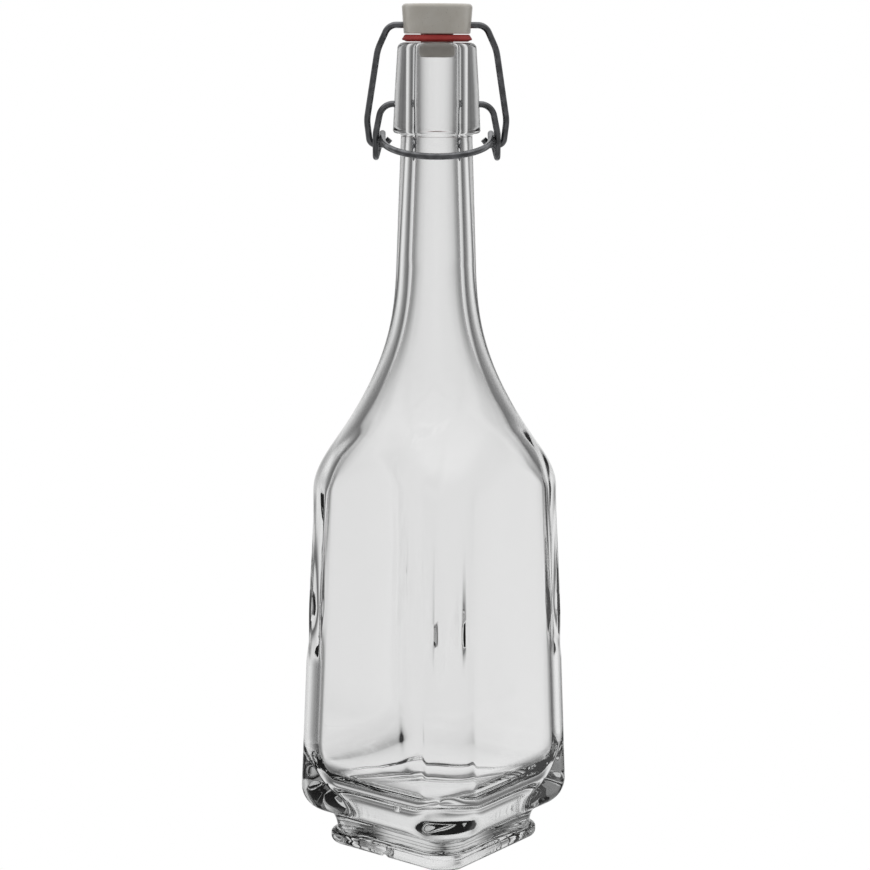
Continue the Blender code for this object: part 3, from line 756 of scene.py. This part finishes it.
def drawn_wire_tree():
    """Nodes that sweep a round wire along a path and mark how far along and round it is."""
    tree = bpy.data.node_groups.new("drawn_wire", "GeometryNodeTree")
    face = tree.interface
    face.new_socket("Path", in_out="INPUT", socket_type="NodeSocketGeometry")
    face.new_socket("Thickness", in_out="INPUT", socket_type="NodeSocketFloat")
    face.new_socket("Sides", in_out="INPUT", socket_type="NodeSocketInt")
    face.new_socket("Finish", in_out="INPUT", socket_type="NodeSocketMaterial")
    face.new_socket("Wire", in_out="OUTPUT", socket_type="NodeSocketGeometry")
    given = add_node(tree, "NodeGroupInput")
    radius = add_node(tree, "ShaderNodeMath", {0: given.outputs["Thickness"], 1: 0.5},
                      operation="MULTIPLY")
    circle = add_node(tree, "GeometryNodeCurvePrimitiveCircle",
                      {"Resolution": given.outputs["Sides"], "Radius": radius.outputs[0]})
    spot = add_node(tree, "GeometryNodeInputPosition")
    round_mark = add_node(tree, "GeometryNodeCaptureAttribute",
                          {"Geometry": circle.outputs["Curve"]})
    round_mark.capture_items.new("VECTOR", "Round")
    tree.links.new(spot.outputs[0], round_mark.inputs["Round"])
    along = add_node(tree, "GeometryNodeSplineParameter")
    along_mark = add_node(tree, "GeometryNodeCaptureAttribute",
                          {"Geometry": given.outputs["Path"]})
    along_mark.capture_items.new("FLOAT", "Along")
    tree.links.new(along.outputs["Length"], along_mark.inputs["Along"])
    swept = add_node(tree, "GeometryNodeCurveToMesh",
                     {"Curve": along_mark.outputs["Geometry"],
                      "Profile Curve": round_mark.outputs["Geometry"], "Fill Caps": True})
    split = add_node(tree, "ShaderNodeSeparateXYZ", {0: round_mark.outputs["Round"]})
    mark = add_node(tree, "ShaderNodeCombineXYZ", {0: split.outputs[0], 1: split.outputs[1],
                                                   2: along_mark.outputs["Along"]})
    stored = add_node(tree, "GeometryNodeStoreNamedAttribute",
                      {"Geometry": swept.outputs["Mesh"], "Name": "draw",
                       "Value": mark.outputs[0]}, data_type="FLOAT_VECTOR", domain="POINT")
    made = add_node(tree, "GeometryNodeRealizeInstances", {0: stored.outputs[0]})
    coated = add_node(tree, "GeometryNodeSetMaterial",
                      {"Geometry": made.outputs[0], "Material": given.outputs["Finish"]})
    add_node(tree, "NodeGroupOutput", {0: coated.outputs[0]})
    return tree


def wire(name, right_half, finish):
    """A wire mirrored from its right half, swept along its path, its ends chamfered."""
    left_half = [Vector((-p.x, p.y, p.z)) for p in reversed(right_half[1:])]
    points = left_half + right_half
    ends = [points[0] + (points[1] - points[0]).normalized() * CHAMFER,
            points[-1] + (points[-2] - points[-1]).normalized() * CHAMFER]
    points = [points[0], ends[0]] + points[1:-1] + [ends[1], points[-1]]
    data = bpy.data.curves.new(name, "CURVE")
    data.dimensions = "3D"
    spline = data.splines.new("POLY")
    spline.points.add(len(points) - 1)
    for at, point in zip(spline.points, points):
        at.co = (*(point * MM), 1.0)
    for at in (spline.points[0], spline.points[-1]):
        at.radius = 1.0 - CHAMFER / (WIRE / 2.0)
    guide = bpy.data.objects.new(name + "_path", data)
    bpy.context.collection.objects.link(guide)
    nodes = guide.modifiers.new("drawn_wire", "NODES")
    nodes.node_group = WIRE_TREE
    keys = {i.name: i.identifier for i in WIRE_TREE.interface.items_tree
            if i.in_out == "INPUT"}
    nodes[keys["Thickness"]] = WIRE * MM
    nodes[keys["Sides"]] = 28
    nodes[keys["Finish"]] = finish
    mesh = plain_mesh(guide, name)
    bpy.data.objects.remove(guide, do_unlink=True)
    mesh.shade_smooth()
    mesh.set_sharp_from_angle(angle=math.radians(35.0))
    made = bpy.data.objects.new(name, mesh)
    bpy.context.collection.objects.link(made)
    return made


WIRE_TREE = drawn_wire_tree()

# Drawn steel wire, zinc plated and gone dull: dark grey, with fine lines along it from the
# drawing die, cloudier patches, and a long soft highlight.
steel = bpy.data.materials.new("dull_zinc_plated_steel_wire")
steel.use_nodes = True
tree = steel.node_tree
shader = tree.nodes["Principled BSDF"]
marks = add_node(tree, "ShaderNodeAttribute", attribute_name="draw")
long_lines = add_node(tree, "ShaderNodeMapping", {"Vector": marks.outputs["Vector"],
                                                  "Scale": (4200.0, 4200.0, 90.0)})
lines = add_node(tree, "ShaderNodeTexNoise", {"Vector": long_lines.outputs[0], "Scale": 1.0,
                                              "Detail": 2.0})
place = add_node(tree, "ShaderNodeTexCoord")
cloud = add_node(tree, "ShaderNodeTexNoise", {"Vector": place.outputs["Object"],
                                              "Scale": 350.0, "Detail": 4.0})
tint = add_node(tree, "ShaderNodeValToRGB", {"Fac": cloud.outputs["Fac"]})
set_ramp(tint, [(0.35, linear("#6e6f71")), (0.68, linear("#909194"))])
dull = add_node(tree, "ShaderNodeMapRange", {"Value": lines.outputs["Fac"], "From Min": 0.3,
                                             "From Max": 0.7, "To Min": 0.18, "To Max": 0.32})
relief = add_node(tree, "ShaderNodeBump", {"Height": lines.outputs["Fac"], "Strength": 0.25,
                                           "Distance": 0.00004})
tree.links.new(tint.outputs["Color"], shader.inputs["Base Color"])
tree.links.new(dull.outputs["Result"], shader.inputs["Roughness"])
tree.links.new(relief.outputs[0], shader.inputs["Normal"])
shader.inputs["Metallic"].default_value = 1.0


def bail_point(reach, height):
    """A point in the bail's plane, which leans back from the crossbar to the hooks."""
    share = (CROSSBAR_HEIGHT - height) / (CROSSBAR_HEIGHT - HOOK_HEIGHT)
    return Vector((reach, EYE_DEPTH / 2.0 * share, height))


half_path = bent([bail_point(0.0, CROSSBAR_HEIGHT), bail_point(*BAIL_CORNER),
                  bail_point(*BAIL_KNEE), bail_point(*BAIL_WAIST),
                  bail_point(HOOK_REACH, HOOK_HEIGHT),
                  bail_point(HOOK_TIP + TIP_BEND, HOOK_HEIGHT),
                  bail_point(HOOK_TIP, HOOK_HEIGHT + TIP_RISE)],
                 BAIL_BENDS, 24)
bail = wire("steel_bail", half_path, steel)
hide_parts("top_bail")
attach(bail, "bail")

# ---------------------------------------------------------------------------
# Lever: a second length of the same wire. Each end is a pin in the collar's socket, then
# a leg, then a closed eye round the bail's hook, and a half round loop joins the two in
# front of the neck, where the thumb lifts it.
# ---------------------------------------------------------------------------
PIN_REACH = COLLAR_RADIUS - PIN_DEPTH
LEVER_CORNER = 21.3
EYE_LOW = 276.2
CROSSING = 285.4
LOOP_RADIUS = 20.95
LOOP_SETBACK = 3.3
LOOP_DROP = math.radians(14.5)
LEG_BEND = 8.0
PIN_BEND = 5.5

half_path = []
for i in range(49):
    turn = math.pi / 2.0 * i / 48.0
    ahead = LOOP_SETBACK + LOOP_RADIUS * math.cos(turn)
    half_path.append(Vector((LOOP_RADIUS * math.sin(turn), -ahead,
                             CROSSING - WIRE / 2.0 - ahead * math.tan(LOOP_DROP))))
eye_bend = EYE_DEPTH / 2.0 - 0.01
half_path += bent([half_path[-1],
                   (LOOP_RADIUS + 0.15, EYE_DEPTH, CROSSING
                    + EYE_DEPTH * math.tan(LOOP_DROP) / 2.0),
                   (LEG_REACH, EYE_DEPTH, EYE_LOW), (LEG_REACH, 0.0, EYE_LOW),
                   (LEG_REACH, 0.0, CROSSING), (LEVER_CORNER, 0.0, PIN_HEIGHT),
                   (PIN_REACH, 0.0, PIN_HEIGHT)],
                  [WIRE * 0.9, eye_bend, eye_bend, LEG_BEND, PIN_BEND], 24)[1:]
lever = wire("steel_lever", half_path, steel)
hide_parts("lever_wire")
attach(lever, "lever")
